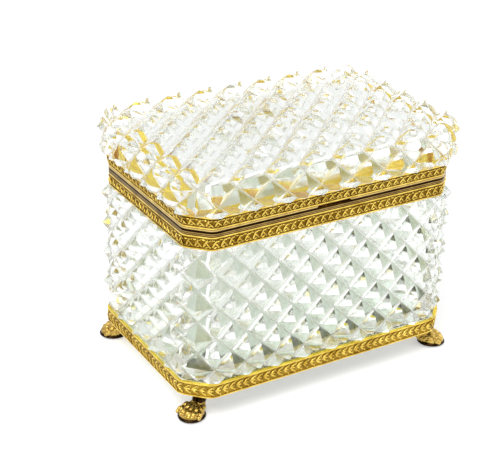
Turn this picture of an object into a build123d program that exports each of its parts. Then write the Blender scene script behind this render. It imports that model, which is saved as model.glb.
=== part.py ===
from build123d import *
import os
from math import atan, ceil, cos, degrees, pi, radians, sin, sqrt

# A small table casket: diamond-cut crystal box and lid, gilt mounts, four lion-paw feet.
# Millimetres. +Z is up, the soles stand on z = 0 and the origin is under the middle.
# The long front looks along -Y, the hinge is along the back.

os.makedirs("parts", exist_ok=True)

# ---- Plan: an oblong with its corners cut off at 45 degrees, taken at the rim ----
rim_width = 150.0
rim_depth = 98.8
corner_leg = 10.2

# ---- Heights of the metalwork ----
foot_height = 12.5
tray_thickness = 1.2
base_band_height = 7.4
body_glass_height = 82.7
rim_band_height = 6.7
rim_plate_thickness = 2.1
parting_gap = 0.4
lid_plate_thickness = 1.4
lid_band_height = 6.4

# ---- How far each outline stands out from the rim (a minus sign is inside it) ----
base_band_reach = 2.4
body_glass_reach = 4.0
lid_glass_reach = 4.9
lid_band_flare = 1.1
cavity_inset = 6.0
lid_cavity_inset = 7.5
tray_flange_width = 15.0

# ---- Metal section sizes ----
band_wall = 1.1
bead_height = 0.7
bead_depth = 0.35
reed_count = 2
reed_height = 0.7
reed_depth = 0.3
lip_drop = 4.0
lip_wall = 0.8
lip_fit = 0.2
corner_rounding = 6.0
glass_fit = 0.3
band_to_cut_gap = 0.4

# ---- Diamond cutting of the crystal ----
body_cut_depth = 4.8
body_front_pitch = 16.5
body_side_pitch = 17.3
body_row_pitch = 16.7
body_first_row = 18.1
body_front_phase = -4.7
blank_spare = 0.5
lid_cut_depth = 3.9
lid_point_trim = 0.9
lid_columns = 9
lid_side_rows = 13
lid_row_pitch = 16.2
body_floor = 9.0
lid_glass_height = 19.8
lid_roof = 9.3

# ---- Nail nick at the front of the lid ----
nick_width = 19.0
nick_height = 1.1
nick_depth = 2.2

# ---- Hinge ----
hinge_length = 60.0
knuckle_count = 5
knuckle_gap = 0.3
barrel_radius = 1.7
pin_radius = 0.8
pin_clearance = 0.04
pin_head_radius = 1.5
pin_head_length = 1.2
leaf_thickness = 0.8
leaf_depth = 6.4
barrel_gap = 0.3

# ---- Feet ----
foot_setback = 6.5
foot_splay = 30.0
pad_length = 9.0
pad_width = 7.6
pad_thickness = 1.0
ankle_length = 6.4
ankle_width = 5.6
ankle_level = 9.4
ankle_flare = 0.7
heel_level = 3.0
heel_setback = 0.4
shin_level = 8.6
shin_reach = 10.0
shin_width = 10.0
paw_reach = 8.8
paw_level = 4.2
paw_half_length = 8.6
paw_half_width = 6.2
paw_half_height = 5.0
toe_reach = 14.2
toe_level = 2.9
toe_radius = 2.9
toe_pitch = 3.75
toe_fan = 14.0
lump_sides = 8
lump_waist = 0.35
lump_draft = 40.0

# ---- Levels worked out from the sizes above ----
band_bottom = foot_height
glass_bottom = band_bottom + tray_thickness
band_top = band_bottom + base_band_height
body_cut_bottom = band_top + band_to_cut_gap
glass_top = glass_bottom + body_glass_height
rim_band_bottom = glass_top - rim_band_height
body_cut_top = rim_band_bottom - band_to_cut_gap
rim_top = glass_top + rim_plate_thickness
lid_bottom = rim_top + parting_gap
lid_plate_top = lid_bottom + lid_plate_thickness
lid_band_top = lid_plate_top + lid_band_height
lid_cut_bottom = lid_band_top + band_to_cut_gap
lid_top = lid_cut_bottom + lid_glass_height

# ---- Outlines worked out from the sizes above ----
wall_inset = band_wall + bead_depth
neck_inset = wall_inset + glass_fit
base_neck_reach = base_band_reach - neck_inset
body_opening_inset = cavity_inset + lip_fit + lip_wall
lid_opening_inset = lid_cavity_inset + lip_fit + lip_wall
foot_x = rim_width / 2 - corner_leg / 2 - foot_setback / sqrt(2)
foot_y = rim_depth / 2 - corner_leg / 2 - foot_setback / sqrt(2)
hinge_y = rim_depth / 2 + barrel_gap + barrel_radius
hinge_z = rim_top + parting_gap / 2
knuckle_length = (hinge_length - (knuckle_count - 1) * knuckle_gap) / knuckle_count


def plan(reach, rounded=False):
    """Eight-sided plan of the casket, its sides moved out from the rim by reach."""
    half_width = rim_width / 2 + reach
    half_depth = rim_depth / 2 + reach
    leg = corner_leg + (2 - sqrt(2)) * reach
    quarter = [(half_width, half_depth - leg), (half_width - leg, half_depth)]
    outline = quarter + [(-x, y) for x, y in reversed(quarter)]
    outline = outline + [(-x, -y) for x, y in outline]
    Polygon(*outline, align=None)
    if rounded:
        fillet(vertices(), corner_rounding + reach)


def layer(level, height, reach, rounded=False, mode=Mode.ADD):
    """Slab of the plan, standing on a level."""
    with BuildSketch(Plane.XY.offset(level)) as outline:
        plan(reach, rounded)
    extrude(outline.sketch, amount=height, mode=mode)


def cut_family(panel, depth, pitch_u, pitch_v, phase_u, phase_v, lean, run):
    """One set of parallel mitre cuts below a panel, leaning to one side.

    The cuts cross a second set at phase + whole pitches, and half-way between.
    """
    diagonal = sqrt(pitch_u ** 2 + pitch_v ** 2)
    spacing = pitch_u * pitch_v / diagonal
    along = (panel.x_dir * pitch_u + panel.y_dir * (lean * pitch_v)) / diagonal
    across = along.cross(panel.z_dir)
    crossing = panel.origin + panel.x_dir * phase_u + panel.y_dir * phase_v
    end = Plane(origin=crossing, x_dir=across, z_dir=along)
    out = 1 if end.y_dir.dot(panel.z_dir) > 0 else -1
    count = ceil(run / spacing)
    zigzag = []
    for index in range(-count, count + 1):
        middle = index * spacing
        zigzag.append((middle, -out * depth))
        zigzag.append((middle + spacing / 2, 0.0))
    closing = [(zigzag[-1][0], out * depth), (zigzag[0][0], out * depth)]
    with BuildSketch(end) as teeth:
        with BuildLine():
            Polyline(*zigzag, *closing, close=True)
        make_face()
    extrude(teeth.sketch, amount=run, both=True, mode=Mode.SUBTRACT)


def cut_diamonds(panel, depth, pitch_u, pitch_v, phase_u, phase_v, run):
    """Both sets of cuts on one panel, leaving four-sided points."""
    for lean in (1, -1):
        cut_family(panel, depth, pitch_u, pitch_v, phase_u, phase_v, lean, run)


def side_panels(reach, middle):
    """The eight upright faces through the full points: front, back, ends and corners."""
    half_width = rim_width / 2 + reach
    half_depth = rim_depth / 2 + reach
    leg = corner_leg + (2 - sqrt(2)) * reach
    corner_x = half_width - leg / 2
    corner_y = half_depth - leg / 2
    long_faces = [
        Plane(origin=(0, -half_depth, middle), x_dir=(1, 0, 0), z_dir=(0, -1, 0)),
        Plane(origin=(0, half_depth, middle), x_dir=(-1, 0, 0), z_dir=(0, 1, 0)),
    ]
    short_faces = [
        Plane(origin=(-half_width, 0, middle), x_dir=(0, -1, 0), z_dir=(-1, 0, 0)),
        Plane(origin=(half_width, 0, middle), x_dir=(0, 1, 0), z_dir=(1, 0, 0)),
    ]
    corner_faces = [
        Plane(
            origin=(sx * corner_x, sy * corner_y, middle),
            x_dir=(-sy, sx, 0),
            z_dir=(sx, sy, 0),
        )
        for sx in (-1, 1)
        for sy in (-1, 1)
    ]
    return long_faces, short_faces, corner_faces


def save(piece, name):
    """Name a finished piece and write it out."""
    piece.part.label = name
    export_step(piece.part, f"parts/{name}.step")


# ---- Crystal body: hollow block, diamond cut all round between two plain necks ----
with BuildPart() as body_glass:
    layer(body_cut_bottom, body_cut_top - body_cut_bottom, body_glass_reach + blank_spare)
    long_faces, short_faces, corner_faces = side_panels(body_glass_reach, 0.0)
    for faces, pitch, phase in (
        (long_faces, body_front_pitch, body_front_phase),
        (short_faces, body_side_pitch, 0.0),
        (corner_faces, body_front_pitch, 0.0),
    ):
        for face in faces:
            cut_diamonds(face, body_cut_depth, pitch, body_row_pitch, phase, body_first_row, rim_width)
    layer(glass_bottom, body_cut_bottom - glass_bottom, base_neck_reach, rounded=True)
    layer(body_cut_top, glass_top - body_cut_top, -neck_inset, rounded=True)
    layer(glass_bottom + body_floor, body_glass_height, -cavity_inset, mode=Mode.SUBTRACT)
save(body_glass, "body_glass")

# ---- Crystal lid: hollow block, diamond cut over its top and sides ----
lid_depth = lid_cut_depth + lid_point_trim
lid_point_reach = lid_glass_reach + lid_point_trim
lid_point_width = rim_width + 2 * lid_point_reach
lid_point_depth = rim_depth + 2 * lid_point_reach
lid_column_pitch = lid_point_width / lid_columns
lid_line_pitch = 2 * lid_point_depth / lid_side_rows
with BuildPart() as lid_glass:
    layer(lid_cut_bottom, lid_glass_height, lid_glass_reach)
    point_level = lid_top + lid_point_trim
    top_face = Plane(origin=(0, 0, point_level), x_dir=(1, 0, 0), z_dir=(0, 0, 1))
    cut_diamonds(
        top_face,
        lid_depth,
        lid_column_pitch,
        lid_line_pitch,
        lid_point_width / 2,
        -lid_point_depth / 2,
        rim_width + rim_depth,
    )
    long_faces, short_faces, corner_faces = side_panels(lid_point_reach, point_level)
    for faces, pitch, phases, drop in (
        (long_faces, lid_column_pitch, (0.5, 0.0), 0.0),
        (short_faces, lid_line_pitch, (0.25, -0.25), 0.0),
        (corner_faces, lid_line_pitch, (0.0,) * 4, 0.5),
    ):
        for face, phase in zip(faces, phases):
            start = (phase * pitch, drop * lid_row_pitch)
            cut_diamonds(face, lid_depth, pitch, lid_row_pitch, *start, rim_width)
    layer(lid_plate_top, lid_cut_bottom - lid_plate_top, -neck_inset, rounded=True)
    layer(lid_plate_top, lid_top - lid_roof - lid_plate_top, -lid_cavity_inset, mode=Mode.SUBTRACT)
save(lid_glass, "lid_glass")


def band(level, height, reach):
    """Gilt strip round the crystal, with a raised bead along both edges."""
    layer(level, height, reach - bead_depth, rounded=True)
    layer(level, bead_height, reach, rounded=True)
    layer(level + height - bead_height, bead_height, reach, rounded=True)
    layer(level, height, reach - wall_inset, rounded=True, mode=Mode.SUBTRACT)


def lining(level, inset):
    """Thin gilt lip that covers the crystal's inner edge."""
    layer(level, lip_drop, -inset - lip_fit)
    layer(level, lip_drop, -inset - lip_fit - lip_wall, mode=Mode.SUBTRACT)


def foot_places():
    """Foot centres under the four cut corners, each splayed out from the long axis."""
    along, aside = cos(radians(foot_splay)), sin(radians(foot_splay))
    return [
        Plane(
            origin=(sx * foot_x, sy * foot_y, 0),
            x_dir=(sx * along, sy * aside, 0),
            z_dir=(0, 0, 1),
        )
        for sx in (-1, 1)
        for sy in (-1, 1)
    ]


# ---- Base: flat tray under the crystal, and the ornamented band round its foot ----
with BuildPart() as base_tray:
    layer(band_bottom, tray_thickness, base_band_reach - wall_inset, rounded=True)
    tray_opening = base_band_reach - wall_inset - tray_flange_width
    layer(band_bottom, tray_thickness, tray_opening, mode=Mode.SUBTRACT)
save(base_tray, "base_tray")

with BuildPart() as base_band:
    band(band_bottom, base_band_height, base_band_reach)
save(base_band, "base_band")

# ---- Rim of the body: band, reeded frame with the lid seat, and inner lining ----
with BuildPart() as rim_band:
    band(rim_band_bottom, rim_band_height, 0)
save(rim_band, "rim_band")

with BuildPart() as body_collar:
    lining(glass_top - lip_drop, cavity_inset)
save(body_collar, "body_collar")

# ---- Hinge places: knuckles in a row along the back, body and lid by turns ----
knuckle_pitch = knuckle_length + knuckle_gap
knuckle_centres = [(index - (knuckle_count - 1) / 2) * knuckle_pitch for index in range(knuckle_count)]
body_knuckles = knuckle_centres[0::2]
lid_knuckles = knuckle_centres[1::2]
leaf_edge = rim_depth / 2


def leaf_pocket(level, upward):
    """Shallow pocket that one hinge leaf lies in, flush with the metal round it."""
    with BuildSketch(Plane.XY.offset(level)) as pocket:
        with Locations((0, leaf_edge)):
            Rectangle(hinge_length, 2 * leaf_depth)
    extrude(pocket.sketch, amount=upward * leaf_thickness, mode=Mode.SUBTRACT)


def hinge_leaf(level, upward, knuckles):
    """Leaf plate with its share of the knuckles, bored for the pin."""
    with BuildSketch(Plane.XY.offset(level)) as plate:
        with Locations((0, leaf_edge - leaf_depth / 2)):
            Rectangle(hinge_length, leaf_depth)
        for centre in knuckles:
            with Locations((centre, (leaf_edge + hinge_y) / 2)):
                Rectangle(knuckle_length, hinge_y - leaf_edge)
    extrude(plate.sketch, amount=upward * leaf_thickness)
    for centre in knuckles:
        side = Plane(origin=(centre, hinge_y, hinge_z), x_dir=(0, 1, 0), z_dir=(1, 0, 0))
        with BuildSketch(side) as barrel:
            Circle(barrel_radius)
        extrude(barrel.sketch, amount=knuckle_length / 2, both=True)
    middle = Plane(origin=(0, hinge_y, hinge_z), x_dir=(0, 1, 0), z_dir=(1, 0, 0))
    with BuildSketch(middle) as bore:
        Circle(pin_radius + pin_clearance)
    extrude(bore.sketch, amount=hinge_length, both=True, mode=Mode.SUBTRACT)


with BuildPart() as rim_frame:
    layer(glass_top, rim_plate_thickness, -reed_depth, rounded=True)
    reed_pitch = rim_plate_thickness / reed_count
    for index in range(reed_count):
        reed_bottom = glass_top + index * reed_pitch + (reed_pitch - reed_height) / 2
        layer(reed_bottom, reed_height, 0, rounded=True)
    layer(glass_top, rim_plate_thickness, -body_opening_inset, mode=Mode.SUBTRACT)
    leaf_pocket(rim_top, -1)
save(rim_frame, "rim_frame")

# ---- Frame of the lid: plain fillet with the nail nick, flared band, inner lining ----
with BuildPart() as lid_frame:
    layer(lid_bottom, lid_plate_thickness, 0, rounded=True)
    layer(lid_bottom, lid_plate_thickness, -lid_opening_inset, mode=Mode.SUBTRACT)
    front = Plane(origin=(0, -rim_depth / 2, lid_bottom), x_dir=(1, 0, 0), z_dir=(0, -1, 0))
    with BuildSketch(front) as nick:
        Rectangle(nick_width, 2 * nick_height)
        fillet(vertices(), nick_height * 0.8)
    extrude(nick.sketch, amount=-nick_depth, mode=Mode.SUBTRACT)
    leaf_pocket(lid_bottom, 1)
save(lid_frame, "lid_frame")

with BuildPart() as lid_band:
    layer(lid_plate_top, bead_height, 0, rounded=True)
    flare_height = lid_band_height - 2 * bead_height
    flare_angle = degrees(atan(lid_band_flare / flare_height))
    layer(lid_band_top - bead_height, bead_height, lid_band_flare, rounded=True)
    for inset, mode in ((bead_depth, Mode.ADD), (wall_inset, Mode.SUBTRACT)):
        with BuildSketch(Plane.XY.offset(lid_plate_top + bead_height)) as outline:
            plan(-inset, rounded=True)
        extrude(outline.sketch, amount=flare_height, taper=-flare_angle, mode=mode)
    layer(lid_plate_top, bead_height, -wall_inset, rounded=True, mode=Mode.SUBTRACT)
    layer(
        lid_band_top - bead_height,
        bead_height,
        lid_band_flare - wall_inset,
        rounded=True,
        mode=Mode.SUBTRACT,
    )
save(lid_band, "lid_band")

with BuildPart() as lid_collar:
    lining(lid_plate_top, lid_cavity_inset)
save(lid_collar, "lid_collar")

# ---- Hinge: two leaves and the pin they turn on ----
with BuildPart() as hinge_body_leaf:
    hinge_leaf(rim_top, -1, body_knuckles)
save(hinge_body_leaf, "hinge_body_leaf")

with BuildPart() as hinge_lid_leaf:
    hinge_leaf(lid_bottom, 1, lid_knuckles)
save(hinge_lid_leaf, "hinge_lid_leaf")

with BuildPart() as hinge_pin:
    middle = Plane(origin=(0, hinge_y, hinge_z), x_dir=(0, 1, 0), z_dir=(1, 0, 0))
    with BuildSketch(middle):
        Circle(pin_radius)
    extrude(amount=hinge_length / 2, both=True)
    for sign in (-1, 1):
        head_face = Plane(
            origin=(sign * hinge_length / 2, hinge_y, hinge_z), x_dir=(0, 1, 0), z_dir=(sign, 0, 0)
        )
        with BuildSketch(head_face):
            Circle(pin_head_radius)
        extrude(amount=pin_head_length)
save(hinge_pin, "hinge_pin")

# ---- Foot: pad under the tray, slim ankle, and a lion's paw with four toes ----


def chased_lump(half_length, half_width, half_height):
    """Lump with an upright waist, its top and bottom drawn in by flat facets."""
    outline = [
        (
            half_length * cos(2 * pi * (corner + 0.5) / lump_sides),
            half_width * sin(2 * pi * (corner + 0.5) / lump_sides),
        )
        for corner in range(lump_sides)
    ]
    waist = lump_waist * half_height
    with BuildPart() as lump:
        with BuildSketch() as section:
            Polygon(*outline, align=None)
        extrude(section.sketch, amount=waist)
        with BuildSketch(Plane.XY.offset(waist)) as section:
            Polygon(*outline, align=None)
        extrude(section.sketch, amount=half_height - waist, taper=lump_draft)
        mirror(about=Plane.XY)
    return lump.part


paw_mass = chased_lump(paw_half_length, paw_half_width, paw_half_height)
toe_mass = chased_lump(toe_radius * 1.25, toe_radius * 0.8, toe_radius)

with BuildPart() as foot:
    half_length = ankle_length / 2
    half_width = ankle_width / 2
    pad_level = foot_height - pad_thickness
    with BuildSketch(Plane.XZ) as side_view:
        with BuildLine():
            Polyline(
                (-half_length - ankle_flare, pad_level),
                (-half_length, ankle_level),
                (heel_setback - half_length, heel_level),
                (paw_reach, heel_level),
                (shin_reach, shin_level),
                (half_length, ankle_level),
                (half_length + ankle_flare, pad_level),
                close=True,
            )
        make_face()
    extrude(side_view.sketch, amount=shin_width, both=True)
    with BuildSketch(Plane.YZ) as front_view:
        with BuildLine():
            Polyline(
                (half_width + ankle_flare, pad_level),
                (half_width, ankle_level),
                (shin_width / 2, paw_level),
                (shin_width / 2, heel_level),
                (0, heel_level),
            )
            mirror(about=Plane.YZ)
            Line((-half_width - ankle_flare, pad_level), (half_width + ankle_flare, pad_level))
        make_face()
    extrude(front_view.sketch, amount=2 * shin_reach, both=True, mode=Mode.INTERSECT)
    with BuildSketch(Plane.XY.offset(pad_level)) as pad:
        Rectangle(pad_length, pad_width)
        chamfer(vertices(), pad_width / 5)
    extrude(pad.sketch, amount=pad_thickness)
    with Locations((paw_reach, 0, paw_level)):
        add(paw_mass)
    for index in range(4):
        side = index - 1.5
        toe_x = toe_reach - 0.55 * side ** 2
        with Locations(Location((toe_x, side * toe_pitch, toe_level), (0, 0, side * toe_fan))):
            add(toe_mass)
    with BuildSketch(Plane.XY) as ground:
        Rectangle(8 * pad_length, 8 * pad_length)
    extrude(ground.sketch, amount=-foot_height, mode=Mode.SUBTRACT)

for place in foot_places():
    end_name = "left" if place.origin.X < 0 else "right"
    side_name = "front" if place.origin.Y < 0 else "rear"
    with BuildPart() as corner_foot:
        with Locations(Location(place)):
            add(foot.part)
    save(corner_foot, f"foot_{side_name}_{end_name}")
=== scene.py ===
import bpy
import random
from math import cos, pi, radians, sin, sqrt
from mathutils import Matrix, Vector


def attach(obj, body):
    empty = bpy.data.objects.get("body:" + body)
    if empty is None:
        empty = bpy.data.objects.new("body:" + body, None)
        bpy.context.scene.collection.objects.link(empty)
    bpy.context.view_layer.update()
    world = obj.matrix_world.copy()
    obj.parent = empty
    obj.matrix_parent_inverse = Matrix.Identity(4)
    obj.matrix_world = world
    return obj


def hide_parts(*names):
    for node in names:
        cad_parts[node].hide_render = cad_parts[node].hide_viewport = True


# Table casket of diamond-cut crystal with gilt mounts: metres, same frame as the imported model.

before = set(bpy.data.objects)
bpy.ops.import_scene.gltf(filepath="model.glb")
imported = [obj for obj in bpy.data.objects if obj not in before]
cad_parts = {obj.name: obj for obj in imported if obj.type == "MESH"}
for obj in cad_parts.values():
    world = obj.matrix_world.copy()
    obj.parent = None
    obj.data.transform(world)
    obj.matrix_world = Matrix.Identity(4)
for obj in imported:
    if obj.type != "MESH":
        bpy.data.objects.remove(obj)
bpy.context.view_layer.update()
scene = bpy.context.scene
scene.view_settings.view_transform = "Standard"
MM = 0.001
chance = random.Random(7)

# The figures down to the feet are in millimetres and agree with the model.
# Plan of the casket at its rim.
RIM_HALF_WIDTH, RIM_HALF_DEPTH, CORNER_LEG, CORNER_ROUNDING = 75.0, 49.4, 10.2, 6.0
# How far the full points of each crystal stand out from the rim, and the height of the lid's.
BODY_GLASS_REACH, LID_GLASS_REACH, LID_CREST = 4.0, 5.8, 127.8
# Depth of the cuts below the points, and how far up from their bottoms they are left ground.
CUT_DEPTH, CUT_GROUND = 4.8, 0.45
# Heights of the crystals' flat seats, and the hair by which the crystals are lifted off them.
BODY_GLASS_FOOT, BODY_GLASS_HEAD, LID_GLASS_FOOT, SEAT_GAP = 13.7, 96.4, 100.3, 0.05
# Top edge of the lid crystal: reach from the rim, height, and how much its spikes are ground off.
LID_EDGE_REACH, LID_EDGE_HEIGHT, LID_EDGE_CUT = 4.9, 126.9, 3.0
# Foot centres, and the paws' angle in degrees out from the long axis.
FOOT_X, FOOT_Y, FOOT_SPLAY = 65.304, 39.704, 30.0
# Each foot with the signs of its x and y.
FEET = (("foot_front_left", -1, -1), ("foot_front_right", 1, -1),
        ("foot_rear_left", -1, 1), ("foot_rear_right", 1, 1))

BLACK, WHITE = (0, 0, 0), (1, 1, 1)


# ---------------------------------------------------------------- nodes
def new_material(name):
    """Material with an empty node tree."""
    material = bpy.data.materials.new(name)
    material.use_nodes = True
    material.node_tree.nodes.clear()
    return material, material.node_tree


def add_node(tree, kind, feeds=None, **settings):
    """One node: its settings and unlinked inputs by name, and feeds from input to socket."""
    node = tree.nodes.new(kind)
    for key, value in settings.items():
        if key in node.inputs:
            node.inputs[key].default_value = value
        else:
            setattr(node, key, value)
    for slot, socket in (feeds or {}).items():
        tree.links.new(socket, node.inputs[slot])
    return node


def principled(name, **settings):
    """New material with a Principled shader on its output."""
    material, tree = new_material(name)
    shader = add_node(tree, "ShaderNodeBsdfPrincipled", **settings)
    add_node(tree, "ShaderNodeOutputMaterial", {"Surface": shader.outputs["BSDF"]})
    return material, tree, shader


def math_node(tree, operation, *values):
    """Math node fed with sockets or numbers; gives back its result."""
    node = add_node(tree, "ShaderNodeMath", operation=operation)
    for slot, value in zip(node.inputs, values):
        if isinstance(value, (int, float)):
            slot.default_value = value
        else:
            tree.links.new(value, slot)
    return node.outputs["Value"]


def ramp(tree, value, stops):
    """Colour ramp over a value, with the given (place, colour) stops."""
    node = add_node(tree, "ShaderNodeValToRGB", {"Fac": value})
    elements = node.color_ramp.elements
    while len(elements) > 1:
        elements.remove(elements[-1])
    elements[0].position, elements[0].color = stops[0][0], (*stops[0][1], 1)
    for place, colour in stops[1:]:
        elements.new(place).color = (*colour, 1)
    return node.outputs["Color"]


def mix_colours(tree, factor, first, second, blend="MIX"):
    """Two colours, each a socket or a tuple, mixed by a factor."""
    node = add_node(tree, "ShaderNodeMix", {"Factor": factor}, data_type="RGBA", blend_type=blend)
    for slot, colour in (("A", first), ("B", second)):
        if isinstance(colour, tuple):
            node.inputs[slot].default_value = (*colour, 1)
        else:
            tree.links.new(colour, node.inputs[slot])
    return node.outputs["Result"]


def smooth_rise(tree, value, start, end):
    """0 up to start, 1 from end on, and a smooth rise between."""
    settings = {"interpolation_type": "SMOOTHSTEP", "From Min": start, "From Max": end}
    return add_node(tree, "ShaderNodeMapRange", {"Value": value}, **settings).outputs["Result"]


def spread_over(tree, value, low, high):
    """A value from 0 to 1 spread from low to high."""
    settings = {"To Min": low, "To Max": high}
    return add_node(tree, "ShaderNodeMapRange", {"Value": value}, **settings).outputs["Result"]


def noise(tree, place, **settings):
    """Noise over the object coordinates."""
    node = add_node(tree, "ShaderNodeTexNoise", {"Vector": place.outputs["Object"]}, **settings)
    return node.outputs["Fac"]


def split_axes(tree, vector):
    """The X, Y and Z of a vector."""
    node = add_node(tree, "ShaderNodeSeparateXYZ", {"Vector": vector})
    return node.outputs["X"], node.outputs["Y"], node.outputs["Z"]


def outline_depth(tree, axes, reach, crest=None):
    """How far, in metres, a point lies outside the outline reach beyond the rim; below 0 inside."""
    across, aside = math_node(tree, "ABSOLUTE", axes[0]), math_node(tree, "ABSOLUTE", axes[1])
    half_width, half_depth = (RIM_HALF_WIDTH + reach) * MM, (RIM_HALF_DEPTH + reach) * MM
    leg = (CORNER_LEG + (2 - sqrt(2)) * reach) * MM
    both = math_node(tree, "ADD", across, aside)
    past_corner = math_node(tree, "SUBTRACT", both, half_width + half_depth - leg)
    others = [math_node(tree, "SUBTRACT", aside, half_depth),
              math_node(tree, "MULTIPLY", past_corner, 1 / sqrt(2))]
    if crest is not None:
        others.append(math_node(tree, "SUBTRACT", axes[2], crest * MM))
    depth = math_node(tree, "SUBTRACT", across, half_width)
    for other in others:
        depth = math_node(tree, "MAXIMUM", depth, other)
    return depth


# ---------------------------------------------------------------- materials
# Gilding: how far behind the rim's outline the inner colour starts and how deep the grain is, in
# millimetres; how upright a normal makes a face count as level, and so free of the painted shade
# bands; and the roughness's swing.
INNER_EDGE, GRAIN_DEPTH = 2.8, 0.3
LEVEL_FACE = 0.8
SMOOTHER, ROUGHER = 0.06, 0.12

# Crystal: ground surface past the cuts' bottoms and lengths over which the ends and the corners
# change, in millimetres; colours low down, darkened with painted shade, high up, at the corners,
# paled with painted light, and where it is ground.
GROUND_MARGIN, END_FADE, CORNER_FADE = 0.2, (12.0, 4.0), (14.0, 4.0)
LOW_SHADED_TINT, HIGH_TINT = (0.84, 0.92, 0.83), (0.92, 0.945, 0.915)
CORNER_LIT_TINT, GROUND_TINT = (0.99, 1.0, 0.985), (1.0, 1.0, 0.98)
POLISHED, HAZY, GROUND_ROUGHNESS = 0.05, 0.11, 0.35


def gilt_metal(name, bright, deep, shade_colour, roughness, grain, hollow_size=1.4, shadow_below=None,
               shade_bands=(), inner=None, tooling=0.25):
    """Gilding: warm metal with painted shade in its hollows, edges left bright, and a fine cast
    grain.

    Sizes and heights are in millimetres: hollow_size is how near other metal must be for painted
    shade to darken a spot, shadow_below darkens what lies under it with a painted shadow,
    shade_bands gives bands of height darkened with painted shade except on level faces, and inner
    is the colour of what lies well inside the rim's outline. Grain is how fine the cast grain is,
    and tooling how strongly it roughens the surface.
    """
    material, tree, shader = principled(name, Metallic=1.0)
    place = tree.nodes.new("ShaderNodeTexCoord")
    axes = split_axes(tree, place.outputs["Object"])
    height = axes[2]
    cloud = noise(tree, place, Scale=160.0, Detail=4.0, Roughness=0.6)
    tone = ramp(tree, cloud, [(0.3, deep), (0.62, bright)])
    # Painted shade in the hollows, wherever other metal lies near.
    hollow = add_node(tree, "ShaderNodeAmbientOcclusion", Distance=hollow_size * MM, samples=6,
                      only_local=True)
    unshaded = ramp(tree, hollow.outputs["AO"], [(0.35, BLACK), (0.85, WHITE)])
    # Painted shadow on what lies below the given height.
    if shadow_below is not None:
        lit = smooth_rise(tree, height, 0.75 * shadow_below * MM, shadow_below * MM)
        unshaded = math_node(tree, "MULTIPLY", unshaded, lit)
    # Painted shade in bands of height, left off level faces.
    if shade_bands:
        facing = split_axes(tree, place.outputs["Normal"])
        level = math_node(tree, "GREATER_THAN", math_node(tree, "ABSOLUTE", facing[2]), LEVEL_FACE)
        for low, high in shade_bands:
            under = math_node(tree, "LESS_THAN", height, low * MM)
            over = math_node(tree, "GREATER_THAN", height, high * MM)
            out_of_shade = math_node(tree, "MAXIMUM", under, over)
            out_of_shade = math_node(tree, "MAXIMUM", out_of_shade, level)
            unshaded = math_node(tree, "MULTIPLY", unshaded, out_of_shade)
    shown = mix_colours(tree, unshaded, shade_colour, tone)
    if inner is not None:
        inside = math_node(tree, "LESS_THAN", outline_depth(tree, axes, 0.0), -INNER_EDGE * MM)
        shown = mix_colours(tree, inside, shown, inner)
    tree.links.new(shown, shader.inputs["Base Color"])

    fine = noise(tree, place, Scale=grain, Detail=3.0)
    rough = spread_over(tree, fine, roughness - SMOOTHER, roughness + ROUGHER)
    tree.links.new(rough, shader.inputs["Roughness"])
    bump = add_node(tree, "ShaderNodeBump", {"Height": fine}, Strength=tooling,
                    Distance=GRAIN_DEPTH * MM)
    tree.links.new(bump.outputs["Normal"], shader.inputs["Normal"])
    return material


def cut_crystal(name, reach, crest=None, painted_end_shade=(1.0, 1.0, 1.0)):
    """Clear lead crystal, cool green, darkened low down with painted shade and paled at the corners
    with painted light, with the bottoms of its cuts left ground.

    The cuts' bottoms are found by their depth below the outline through the points. The end
    walls are multiplied by painted_end_shade, which paints shade on them.
    """
    material, tree, shader = principled(name, IOR=1.52, **{"Transmission Weight": 1.0})
    place = tree.nodes.new("ShaderNodeTexCoord")
    axes = split_axes(tree, place.outputs["Object"])
    depth = outline_depth(tree, axes, reach, crest)
    low_in_cut = math_node(tree, "LESS_THAN", depth, (CUT_GROUND - CUT_DEPTH) * MM)
    on_surface = math_node(tree, "GREATER_THAN", depth, -(CUT_DEPTH + GROUND_MARGIN) * MM)
    ground = math_node(tree, "MULTIPLY", low_in_cut, on_surface)

    sway = math_node(tree, "MULTIPLY", noise(tree, place, Scale=35.0, Detail=2.0), 0.25)
    height = math_node(tree, "MULTIPLY_ADD", axes[2], 8.0, sway)
    # Darker and greener low down: painted shade.
    colour = ramp(tree, height, [(0.22, LOW_SHADED_TINT), (0.62, HIGH_TINT)])
    across, aside = math_node(tree, "ABSOLUTE", axes[0]), math_node(tree, "ABSOLUTE", axes[1])
    at_end = smooth_rise(tree, across, *((RIM_HALF_WIDTH - inset) * MM for inset in END_FADE))
    both = math_node(tree, "ADD", across, aside)
    corner = RIM_HALF_WIDTH + RIM_HALF_DEPTH - CORNER_LEG
    at_corner = smooth_rise(tree, both, *((corner - inset) * MM for inset in CORNER_FADE))
    # Painted shade on the end walls.
    colour = mix_colours(tree, at_end, colour, painted_end_shade, "MULTIPLY")
    # Painted light at the corners.
    colour = mix_colours(tree, at_corner, colour, CORNER_LIT_TINT)
    colour = mix_colours(tree, ground, colour, GROUND_TINT)
    tree.links.new(colour, shader.inputs["Base Color"])

    rough = spread_over(tree, noise(tree, place, Scale=420.0, Detail=3.0), POLISHED, HAZY)
    matt = math_node(tree, "MULTIPLY", ground, GROUND_ROUGHNESS)
    tree.links.new(math_node(tree, "ADD", rough, matt), shader.inputs["Roughness"])
    return material


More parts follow.
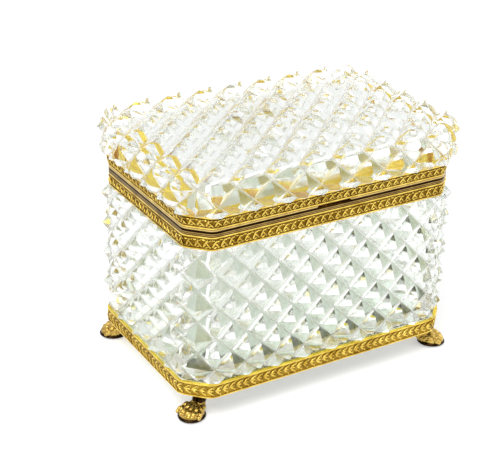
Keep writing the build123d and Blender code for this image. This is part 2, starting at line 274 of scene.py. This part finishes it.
def tray_with_painted_shade():
    """Thin sheet under the crystal: bright at the back, rubbed pale between, darkened in front with
    painted shade.
    """
    material, tree, shader = principled("tray metal", Metallic=1.0, Roughness=0.38)
    place = tree.nodes.new("ShaderNodeTexCoord")
    axes = split_axes(tree, place.outputs["Object"])
    sway = math_node(tree, "MULTIPLY", noise(tree, place, Scale=60.0, Detail=3.0), 0.03)
    along = math_node(tree, "MULTIPLY_ADD", axes[1], 0.5 / (RIM_HALF_DEPTH * MM), 0.485)
    where = math_node(tree, "ADD", along, sway)
    # Dark at the front: painted shade. Bright gold at the back, pale between.
    front_shade, pale, bright = (0.15, 0.16, 0.075), (0.95, 0.93, 0.83), (0.88, 0.64, 0.12)
    tone = ramp(tree, where, [(0.17, front_shade), (0.24, pale), (0.78, pale), (0.85, bright)])
    tree.links.new(tone, shader.inputs["Base Color"])
    return material


# Each gilding darkens its hollows towards its shade colour: painted shade.
gilt = gilt_metal(
    "gilding", bright=(0.92, 0.67, 0.14), deep=(0.52, 0.31, 0.03), shade_colour=(0.06, 0.028, 0.003),
    roughness=0.22, grain=1500.0, tooling=0.6)
# Gilding darkened all over with painted shade, for the sunk ground between the leaves of the bands.
band_ground_shade = gilt_metal(
    "gilding with painted shade in the hollows", bright=(0.26, 0.145, 0.012), deep=(0.12, 0.06, 0.006),
    shade_colour=(0.03, 0.014, 0.002), roughness=0.36, grain=1500.0, tooling=1.0)
base_ground_shade = gilt_metal(
    "gilding with painted shade in the base hollows", bright=(0.46, 0.29, 0.03), deep=(0.18, 0.10, 0.010),
    shade_colour=(0.04, 0.02, 0.003), roughness=0.34, grain=1500.0, tooling=1.0)
seat_gilt = gilt_metal(
    "seat gilding", bright=(1.0, 0.79, 0.09), deep=(0.92, 0.67, 0.06), shade_colour=(0.60, 0.38, 0.03),
    roughness=0.22, grain=900.0)
# The frames' bands of painted shade lie along the parting line of lid and box and where the frames
# meet the crystal.
lid_frame_gilt = gilt_metal(
    "lid frame gilding", bright=(0.66, 0.47, 0.17), deep=(0.46, 0.31, 0.10),
    shade_colour=(0.020, 0.009, 0.002), roughness=0.28, grain=900.0,
    shade_bands=((98.0, 99.3), (100.02, 100.25)), inner=(0.80, 0.56, 0.14))
rim_frame_gilt = gilt_metal(
    "rim frame gilding", bright=(0.43, 0.28, 0.09), deep=(0.22, 0.125, 0.035),
    shade_colour=(0.020, 0.009, 0.002), roughness=0.30, grain=900.0,
    shade_bands=((96.0, 96.85), (98.1, 98.7)), inner=(0.74, 0.51, 0.13))
worn_gilt = gilt_metal(
    "worn gilding", bright=(0.20, 0.11, 0.05), deep=(0.10, 0.05, 0.02), shade_colour=(0.03, 0.012, 0.004),
    roughness=0.34, grain=900.0)
# Painted shadow blackens the paws' soles, and painted shade darkens their legs under the base band,
# except on level faces.
paw_gilt = gilt_metal(
    "paw gilding", bright=(0.72, 0.50, 0.13), deep=(0.30, 0.18, 0.03), shade_colour=(0.026, 0.013, 0.005),
    roughness=0.24, grain=1400.0, tooling=0.5, hollow_size=2.4, shadow_below=2.6,
    shade_bands=((6.0, 12.3),))
# The body crystal's end walls are darkened with painted shade.
body_crystal = cut_crystal("body crystal", BODY_GLASS_REACH, painted_end_shade=(0.97, 0.975, 0.97))
lid_crystal = cut_crystal("lid crystal", LID_GLASS_REACH, LID_CREST)

# The CAD nodes under each material.
for material, coated in (
    (gilt, ("base_band", "rim_band", "lid_band")),
    (seat_gilt, ("body_collar", "lid_collar")),
    (worn_gilt, ("hinge_body_leaf", "hinge_lid_leaf", "hinge_pin")),
    (rim_frame_gilt, ("rim_frame",)),
    (paw_gilt, [node for node, sx, sy in FEET]),
    (lid_frame_gilt, ("lid_frame",)),
    (tray_with_painted_shade(), ("base_tray",)),
    (body_crystal, ("body_glass",)),
    (lid_crystal, ("lid_glass",)),
):
    for node in coated:
        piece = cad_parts[node]
        piece.data.materials.clear()
        piece.data.materials.append(material)


# ---------------------------------------------------------------- meshes
def clear_selection():
    """Leave object mode with nothing picked."""
    if bpy.context.mode != "OBJECT":
        bpy.ops.object.mode_set(mode="OBJECT")
    bpy.ops.object.select_all(action="DESELECT")


def join_all(pieces, name):
    """Join pieces into one, named, with its place in its mesh. It stays the active object."""
    clear_selection()
    for piece in pieces:
        piece.select_set(True)
    bpy.context.view_layer.objects.active = pieces[0]
    bpy.ops.object.join()
    whole = bpy.context.object
    whole.name = name
    bpy.ops.object.transform_apply(location=True, rotation=True, scale=True)
    return whole


def welded_copy(name, node):
    """Copy of a CAD node's mesh with its loose triangles merged, in a new, active object."""
    weld_within, flat_within = 0.01 * MM, radians(0.3)
    clear_selection()
    copy = bpy.data.objects.new(name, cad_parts[node].data.copy())
    scene.collection.objects.link(copy)
    copy.select_set(True)
    bpy.context.view_layer.objects.active = copy
    bpy.ops.object.mode_set(mode="EDIT")
    bpy.ops.mesh.select_all(action="SELECT")
    bpy.ops.mesh.remove_doubles(threshold=weld_within)
    bpy.ops.mesh.dissolve_limited(angle_limit=flat_within)
    bpy.ops.object.mode_set(mode="OBJECT")
    copy.data.materials.clear()
    return copy


# ---------------------------------------------------------------- crystal
def crystal_piece(name, node, seats, trims, softening, material, body, gilded_seat=None):
    """Copy of a cut block: edge spikes ground off, edges polished, lifted a hair off its seats.

    Seats are (height, lift), trims are (point, outward normal) of planes, and gilded_seat is the
    height of the downward faces that show gilding.
    """
    at_seat, near_seat, downward = 0.02, 0.15, -0.9
    piece = welded_copy(name, node)
    mesh = piece.data
    bpy.ops.object.mode_set(mode="EDIT")
    for place, facing in trims:
        bpy.ops.mesh.select_all(action="SELECT")
        bpy.ops.mesh.bisect(plane_co=place, plane_no=facing, clear_outer=True, use_fill=True)
    bpy.ops.object.mode_set(mode="OBJECT")
    for vertex in mesh.vertices:
        for seat, lift in seats:
            if abs(vertex.co.z - seat * MM) < at_seat * MM:
                vertex.co.z += lift * MM
    polish = piece.modifiers.new("polish", "BEVEL")
    polish.width = softening * MM
    polish.segments = 1
    polish.limit_method = "ANGLE"
    polish.angle_limit = radians(15)
    bpy.ops.object.modifier_apply(modifier="polish")
    mesh.materials.append(material)
    if gilded_seat is not None:
        mesh.materials.append(seat_gilt)
        for face in mesh.polygons:
            if face.normal.z < downward and abs(face.center.z / MM - gilded_seat) < near_seat:
                face.material_index = 1
    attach(piece, body)
    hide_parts(node)


def top_edge_trims(reach, top, cut):
    """Planes at 45 degrees along the eight top edges, each taking cut millimetres off the edge."""
    half_width, half_depth = RIM_HALF_WIDTH + reach, RIM_HALF_DEPTH + reach
    leg = CORNER_LEG + (2 - sqrt(2)) * reach
    level = (top - cut / 2) * MM
    planes = []
    for sign in (-1, 1):
        planes.append(((sign * (half_width - cut / 2) * MM, 0, level), (sign, 0, 1)))
        planes.append(((0, sign * (half_depth - cut / 2) * MM, level), (0, sign, 1)))
    inward = cut / 2 / sqrt(2)
    for sx in (-1, 1):
        for sy in (-1, 1):
            x = sx * (half_width - leg / 2 - inward) * MM
            y = sy * (half_depth - leg / 2 - inward) * MM
            planes.append(((x, y, level), (sx, sy, sqrt(2))))
    return planes


crystal_piece("cut_crystal_body", "body_glass",
              seats=((BODY_GLASS_FOOT, SEAT_GAP), (BODY_GLASS_HEAD, -SEAT_GAP)), trims=(),
              softening=0.3, material=body_crystal, body="box")
crystal_piece("cut_crystal_lid", "lid_glass", seats=((LID_GLASS_FOOT, SEAT_GAP),),
              trims=top_edge_trims(LID_EDGE_REACH, LID_EDGE_HEIGHT, LID_EDGE_CUT),
              softening=0.7, material=lid_crystal, body="lid", gilded_seat=LID_GLASS_FOOT)


# ---------------------------------------------------------------- paws
def knob(place, size, turn=0.0, tilt=0.0):
    """Smooth lump: half sizes along, across and up, leant by tilt and turned about upright."""
    bpy.ops.mesh.primitive_uv_sphere_add(segments=20, ring_count=12, radius=1.0,
                                         location=(0, 0, 0))
    part = bpy.context.object
    part.scale = [value * MM for value in size]
    part.rotation_euler = (0, radians(tilt), radians(turn))
    part.location = [value * MM for value in place]
    bpy.ops.object.transform_apply(location=True, rotation=True, scale=True)
    return part


def comb_fur(paw):
    """Press fur grooves into a paw along its surface normals, and level its sole."""
    fur_middle, fur_reach, fur_depth, full_fur_height = 4.5, 7.5, 0.34, 3
    grooves_per_mm, wave, wave_rate = 0.95, 0.35, 1.1
    outward = [vertex.normal.copy() for vertex in paw.data.vertices]
    for vertex, normal in zip(paw.data.vertices, outward):
        x, y, z = vertex.co / MM
        if z < 0.1:
            vertex.co.z = 0.0
            continue
        fur = max(0.0, 1 - ((x - fur_middle) / fur_reach) ** 2) * min(1.0, z / full_fur_height)
        groove = abs(((y * grooves_per_mm + wave * sin(x * wave_rate)) % 1.0) - 0.5) * 2
        vertex.co -= normal * (fur_depth * MM * fur * groove)


def paw_model():
    """Lion's paw with its leg, pointing along +X, its sole on z = 0 and its pad at the top."""
    pad_radius, pad_thickness, pad_height = 3.9, 1.0, 12.0
    voxel, sole_cut = 0.26, 0.02
    clear_selection()
    bpy.ops.mesh.primitive_cylinder_add(vertices=24, radius=pad_radius * MM,
                                        depth=pad_thickness * MM, location=(0, 0, pad_height * MM))
    parts = [bpy.context.object]
    # The leg and the ankle under it, then instep, foot and sole.
    for side in (-1, 1):
        parts.append(knob((0.2, side * 1.55, 9.4), (2.5, 1.5, 3.8)))
        parts.append(knob((1.2, side * 1.7, 6.0), (3.0, 1.7, 3.0), tilt=24))
    parts.append(knob((3.8, 0, 3.3), (4.6, 4.9, 2.7), tilt=14))
    parts.append(knob((7.8, 0, 2.7), (6.6, 6.2, 2.5), tilt=6))
    parts.append(knob((7.8, 0, 1.1), (7.5, 6.9, 1.4)))
    # Five toes fanned out, each with its knuckle, toe and claw.
    for side in range(-2, 3):
        fan = side * 15.0
        reach = 11.6 - 0.5 * side ** 2
        parts.append(knob((reach - 3.6, side * 2.3, 4.6), (2.3, 1.1, 1.2), fan, 12))
        parts.append(knob((reach - 0.2, side * 2.8, 3.7), (1.8, 1.25, 1.4), fan, 24))
        parts.append(knob((reach + 1.5, side * 2.95, 3.0), (1.25, 1.1, 1.15), fan, 30))
    paw = join_all(parts, "paw_model")
    weld = paw.modifiers.new("weld", "REMESH")
    weld.mode = "VOXEL"
    weld.voxel_size = voxel * MM
    bpy.ops.object.modifier_apply(modifier="weld")
    soften = paw.modifiers.new("soften", "SMOOTH")
    soften.iterations = 2
    bpy.ops.object.modifier_apply(modifier="soften")
    bpy.ops.object.mode_set(mode="EDIT")
    bpy.ops.mesh.select_all(action="SELECT")
    bpy.ops.mesh.bisect(plane_co=(0, 0, sole_cut * MM), plane_no=(0, 0, 1), clear_inner=True,
                        use_fill=True)
    bpy.ops.object.mode_set(mode="OBJECT")
    comb_fur(paw)
    bpy.ops.object.shade_smooth()
    return paw


paw = paw_model()
for node, sx, sy in FEET:
    mesh = paw.data.copy()
    heading = radians(FOOT_SPLAY) * sx * sy + (0 if sx > 0 else pi)
    place = Matrix.Translation((sx * FOOT_X * MM, sy * FOOT_Y * MM, 0))
    mesh.transform(place @ Matrix.Rotation(heading, 4, "Z"))
    piece = bpy.data.objects.new(node.replace("foot_", "paw_"), mesh)
    scene.collection.objects.link(piece)
    mesh.materials.clear()
    mesh.materials.append(paw_gilt)
    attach(piece, "box")
    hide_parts(node)
bpy.data.objects.remove(paw)


# ---------------------------------------------------------------- bands
def leaf(length, width, height, lean, place):
    """One raised leaf lying in the XZ plane, its back on y = 0, its tip along +Z."""
    wall, crown = height * 0.45, height * 0.55
    border, taper, taper_start = width * 0.10, 0.5, -0.1
    clear_selection()
    bpy.ops.mesh.primitive_circle_add(vertices=10, radius=0.5, fill_type="NGON",
                                      location=(0, 0, 0))
    blade = bpy.context.object
    blade.rotation_euler = (radians(90), 0, 0)
    blade.scale = (width, length, 1)
    bpy.ops.object.transform_apply(location=True, rotation=True, scale=True)
    bpy.ops.object.mode_set(mode="EDIT")
    bpy.ops.mesh.select_all(action="SELECT")
    bpy.ops.mesh.extrude_region_move(TRANSFORM_OT_translate={"value": (0, -wall, 0)})
    bpy.ops.mesh.inset(thickness=border)
    bpy.ops.mesh.poke(offset=crown)
    bpy.ops.mesh.select_all(action="SELECT")
    bpy.ops.mesh.normals_make_consistent(inside=False)
    bpy.ops.object.mode_set(mode="OBJECT")
    for vertex in blade.data.vertices:
        rise = max(0.0, vertex.co.z / length - taper_start)
        vertex.co.x *= 1 - taper * rise
    blade.data.transform(Matrix.Rotation(radians(lean), 4, "Y"))
    blade.data.transform(Matrix.Translation(place))
    return blade


def bead(radius, place):
    """Small round boss, half sunk in the strip behind it."""
    clear_selection()
    bpy.ops.mesh.primitive_uv_sphere_add(segments=8, ring_count=4, radius=radius, location=place)
    boss = bpy.context.object
    bpy.ops.object.transform_apply(location=True, rotation=True, scale=True)
    return boss


def leaf_motif(name, height, width, leaves, berries):
    """One repeat of a frieze, from its leaves and berries.

    Leaves are (length, width, relief, lean, across, up) and berries (radius, across, up): across
    and up are shares of the motif's width and height, and the rest is in millimetres and degrees.
    """
    parts = []
    for length, breadth, relief, lean, across, up in leaves:
        parts.append(leaf(length * MM, breadth * MM, relief * MM, lean,
                          (across * width * MM, 0.05 * MM, up * height * MM)))
    for radius, across, up in berries:
        parts.append(bead(radius * MM, (across * width * MM, 0, up * height * MM)))
    motif = join_all(parts, name)
    motif.data.materials.append(gilt)
    return motif


def acanthus_motif(height, width):
    """Running acanthus: a leaning leaf with curls above and below it."""
    leaves = ((0.80 * height, 1.10, 0.80, 28, 0.0, 0.0),
              (0.56 * height, 0.85, 0.70, -38, 0.34, -0.16),
              (0.36 * height, 0.75, 0.66, 100, -0.20, 0.30),
              (0.34 * height, 0.70, 0.62, -115, 0.10, -0.36),
              (0.30 * height, 0.60, 0.62, 60, 0.40, 0.26))
    berries = ((0.34, -0.42, -0.32), (0.26, 0.14, 0.40))
    return leaf_motif("acanthus_motif", height, width, leaves, berries)


def laurel_motif(height, width):
    """Running laurel: paired slanting leaves on a stem, with small leaves and berries between."""
    leaves = ((0.95 * width, 0.80, 0.60, 90, 0.0, 0.0),
              (1.00 * width, 1.15, 0.80, 48, 0.0, 0.20),
              (0.92 * width, 1.05, 0.74, 128, 0.10, -0.21),
              (0.50 * width, 0.70, 0.62, 20, 0.46, 0.33),
              (0.50 * width, 0.70, 0.62, 165, 0.44, -0.36))
    berries = ((0.32, -0.44, 0.14), (0.28, -0.40, -0.14))
    return leaf_motif("laurel_motif", height, width, leaves, berries)


def walk_round(half_width, half_depth, leg, radius):
    """Stretches of the rounded eight-sided outline from the middle of the front: (kind, length)."""
    trim = radius * (sqrt(2) - 1)
    cut = leg * sqrt(2) - 2 * trim
    front = 2 * (half_width - leg) - 2 * trim
    end = 2 * (half_depth - leg) - 2 * trim
    arc = radius * pi / 4
    corner = [("arc", arc), ("straight", cut), ("arc", arc)]
    stretches = [("straight", front / 2)]
    for side in (end, front, end, front / 2):
        stretches += corner + [("straight", side)]
    return stretches


def places_round(reach, pitch):
    """Evenly spaced places on a band's outline in metres, each with its heading along the band."""
    half_width, half_depth = RIM_HALF_WIDTH + reach, RIM_HALF_DEPTH + reach
    leg, radius = CORNER_LEG + (2 - sqrt(2)) * reach, CORNER_ROUNDING + reach
    stretches = walk_round(half_width, half_depth, leg, radius)
    total = sum(length for kind, length in stretches)
    count = round(total / pitch / 2) * 2
    spots = []
    for index in range(count):
        left = (index + 0.5) * total / count
        x, y, heading = 0.0, -half_depth, 0.0
        for kind, length in stretches:
            step = min(left, length)
            if kind == "straight":
                x += step * cos(heading)
                y += step * sin(heading)
            else:
                turn = step / radius
                x += radius * (sin(heading + turn) - sin(heading))
                y -= radius * (cos(heading + turn) - cos(heading))
                heading += turn
            left -= step
            if left <= 1e-9:
                break
        spots.append((x * MM, y * MM, heading))
    return spots


def frieze(name, motif, node, reach, level, lean, pitch, recess, ground, body):
    """A band with copies of a motif side by side round it, on a ground between its beads that is
    darkened with painted shade.

    The motifs stand at height level, reach outside the rim and pitch apart, leant by lean degrees.
    The ground lies between the two heights in recess. Each copy is turned and sized a little
    differently, as by hand.
    """
    ground_slot, inside_slot = 1, 2
    strip = welded_copy(name, node)
    for material in (gilt, ground, seat_gilt):
        strip.data.materials.append(material)
    for face in strip.data.polygons:
        outward = face.normal.x * face.center.x + face.normal.y * face.center.y
        if outward < 0:
            face.material_index = inside_slot
        # Ground faces between the beads take the gilding with painted shade.
        elif abs(face.normal.z) < 0.5 and recess[0] < face.center.z / MM < recess[1]:
            face.material_index = ground_slot
    parts = [strip]
    for x, y, heading in places_round(reach, pitch):
        swing, swell = chance.uniform(-7.0, 7.0), chance.uniform(0.92, 1.06)
        copy = motif.copy()
        copy.data = motif.data.copy()
        scene.collection.objects.link(copy)
        turn = Matrix.Translation((x, y, level * MM)) @ Matrix.Rotation(heading, 4, "Z")
        worked = Matrix.Rotation(radians(swing), 4, "Y") @ Matrix.Scale(swell, 4)
        copy.data.transform(turn @ Matrix.Rotation(radians(lean), 4, "X") @ worked)
        parts.append(copy)
    piece = join_all(parts, name)
    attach(piece, body)
    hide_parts(node)
    bpy.data.objects.remove(motif)


# The bands' ground between the beads carries painted shade.
frieze("rim_leaf_band", acanthus_motif(5.3, 4.1), "rim_band", reach=-0.35, level=93.05, lean=0.0,
       pitch=4.1, recess=(90.5, 95.6), ground=band_ground_shade, body="box")
frieze("lid_leaf_band", acanthus_motif(5.0, 4.1), "lid_band", reach=0.20, level=103.5, lean=12.4,
       pitch=4.1, recess=(101.1, 105.9), ground=band_ground_shade, body="lid")
frieze("base_laurel_band", laurel_motif(6.0, 3.8), "base_band", reach=2.05, level=16.2, lean=0.0,
       pitch=3.8, recess=(13.3, 19.1), ground=base_ground_shade, body="box")


# ---------------------------------------------------------------- studio
# In metres: side of the floor, and how far out it fades to plain white for the camera.
FLOOR_SIZE, FADE_START, FADE_END = 6.0, 0.35, 1.2
# Point at which the lamps are aimed.
LAMP_TARGET = (0, 0, 0.06)


def seen_directly(tree, path):
    """1 for camera, glossy and transmission rays, and 0 for those that light matt things."""
    seen = math_node(tree, "MAXIMUM", path.outputs["Is Camera Ray"], path.outputs["Is Glossy Ray"])
    return math_node(tree, "MAXIMUM", seen, path.outputs["Is Transmission Ray"])


def white_stage(name, colour, lift):
    """Pale matt paper: it takes shadows, and camera, metal and glass see it near white."""
    material, tree = new_material(name)
    path = tree.nodes.new("ShaderNodeLightPath")
    level = math_node(tree, "MULTIPLY", seen_directly(tree, path), lift)
    paper = add_node(tree, "ShaderNodeBsdfDiffuse", Color=(*colour, 1))
    glow = add_node(tree, "ShaderNodeEmission", {"Strength": level}, Color=(*WHITE, 1))
    both = add_node(tree, "ShaderNodeAddShader",
                    {0: paper.outputs["BSDF"], 1: glow.outputs["Emission"]})

    place = tree.nodes.new("ShaderNodeTexCoord")
    spread = add_node(tree, "ShaderNodeVectorMath", {0: place.outputs["Object"]}, operation="LENGTH")
    far = smooth_rise(tree, spread.outputs["Value"], FADE_START, FADE_END)
    faded = math_node(tree, "MULTIPLY", far, path.outputs["Is Camera Ray"])
    blank = add_node(tree, "ShaderNodeEmission", Color=(*WHITE, 1), Strength=1.0)
    blend = add_node(tree, "ShaderNodeMixShader",
                     {"Fac": faded, 1: both.outputs["Shader"], 2: blank.outputs["Emission"]})
    add_node(tree, "ShaderNodeOutputMaterial", {"Surface": blend.outputs["Shader"]})
    return material


def softbox(name, place, target, size, power):
    """Square soft lamp aimed at a point."""
    lamp = bpy.data.lights.new(name, "AREA")
    lamp.shape = "SQUARE"
    lamp.size = size
    lamp.energy = power
    body = bpy.data.objects.new(name, lamp)
    scene.collection.objects.link(body)
    body.location = place
    aim = Vector(target) - Vector(place)
    body.rotation_euler = aim.to_track_quat("-Z", "Y").to_euler()


clear_selection()
bpy.ops.mesh.primitive_plane_add(size=FLOOR_SIZE, location=(0, 0, 0))
floor = bpy.context.object
floor.name = "table_top"
floor.data.materials.append(white_stage("white table", colour=(0.80, 0.80, 0.80), lift=0.42))

# The room lights the casket a little cool, and is plain white to look at.
world = bpy.data.worlds.new("studio")
scene.world = world
world.use_nodes = True
tree = world.node_tree
tree.nodes.clear()
plain = add_node(tree, "ShaderNodeBackground", Color=(0.96, 0.98, 1.0, 1), Strength=0.62)
white = add_node(tree, "ShaderNodeBackground", Color=(*WHITE, 1), Strength=1.0)
seen = seen_directly(tree, tree.nodes.new("ShaderNodeLightPath"))
room = add_node(tree, "ShaderNodeMixShader",
                {"Fac": seen, 1: plain.outputs["Background"], 2: white.outputs["Background"]})
add_node(tree, "ShaderNodeOutputWorld", {"Surface": room.outputs["Shader"]})

softbox("key softbox", (-0.55, -0.35, 0.95), LAMP_TARGET, size=0.6, power=7.0)
softbox("fill softbox", (0.85, -0.55, 0.6), LAMP_TARGET, size=0.7, power=3.0)

# ---------------------------------------------------------------- camera
# Camera solved from the photo's straight metal edges: metres, degrees and millimetres of lens.
CAMERA_PLACE = (-0.31489, -0.48934, 0.35160)
AZIMUTH, ELEVATION, ROLL = -31.455, 26.5325, 1.5609
SENSOR_WIDTH, FOCAL_LENGTH = 36.0, 91.73
# Enough for light to pass both walls of the crystal and its mounts.
BOUNCES = 32

camera = bpy.data.cameras.new("view")
camera.sensor_width = SENSOR_WIDTH
camera.lens = FOCAL_LENGTH
view = bpy.data.objects.new("view", camera)
scene.collection.objects.link(view)
azimuth, elevation, roll = radians(AZIMUTH), radians(ELEVATION), radians(ROLL)
back = Vector((sin(azimuth) * cos(elevation), -cos(azimuth) * cos(elevation), sin(elevation)))
right = (-back).cross(Vector((0, 0, 1))).normalized()
up = right.cross(-back)
turned_right = cos(roll) * right + sin(roll) * up
turned_up = -sin(roll) * right + cos(roll) * up
turn = Matrix((turned_right, turned_up, back)).transposed().to_4x4()
view.matrix_world = Matrix.Translation(CAMERA_PLACE) @ turn
scene.camera = view

scene.cycles.max_bounces = BOUNCES
scene.cycles.transmission_bounces = BOUNCES
scene.cycles.glossy_bounces = BOUNCES
